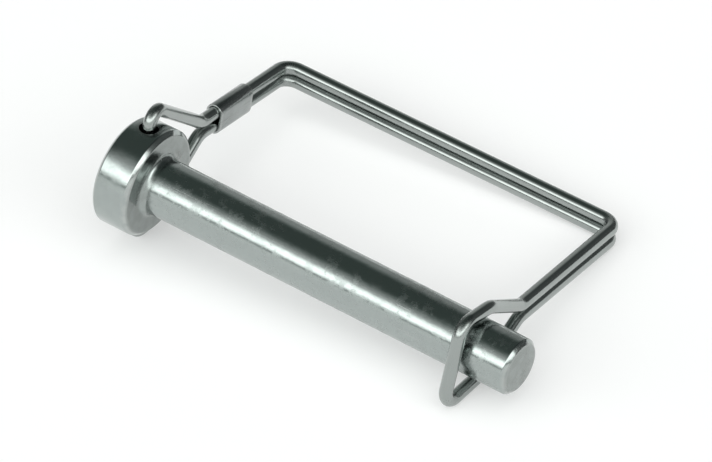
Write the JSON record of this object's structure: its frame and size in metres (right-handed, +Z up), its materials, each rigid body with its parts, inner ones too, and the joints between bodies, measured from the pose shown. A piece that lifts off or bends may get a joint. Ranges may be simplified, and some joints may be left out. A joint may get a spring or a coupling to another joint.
{
  "type": "spring bar pin",
  "caption": "Steel lock pin with a round head, and a square bail of springy doubled wire that swings on the head and snaps over the tip.",
  "frame": {"origin": "centre of the head's bearing face, on the shank's axis", "axes": "+X along the shank towards the tip, which dips 3.9 degrees as the pin lies; +Y towards the bail's far bar; +Z up, off the surface it lies on, which is at z = -12.1 mm"},
  "size_m": [0.0768, 0.053, 0.0245],
  "materials": {
    "pin_zinc": "bright zinc plating over a turned steel surface",
    "wire_zinc": "bright zinc plating over drawn spring wire",
    "ferrule_zinc": "zinc plating over pressed sheet, slightly duller"
  },
  "bodies": {
    "pin": {"pin": "pin_zinc"},
    "bail": {"wire_bail": "wire_zinc", "ferrule": "ferrule_zinc"}
  },
  "joints": [
    {"name": "bail_swing", "type": "hinge", "parent": "pin", "child": "bail", "pos_m": [-0.00329, 0, 0.00022], "axis": [0.067, 0.1394, 0.988], "range_deg": [0, 240]}
  ]
}
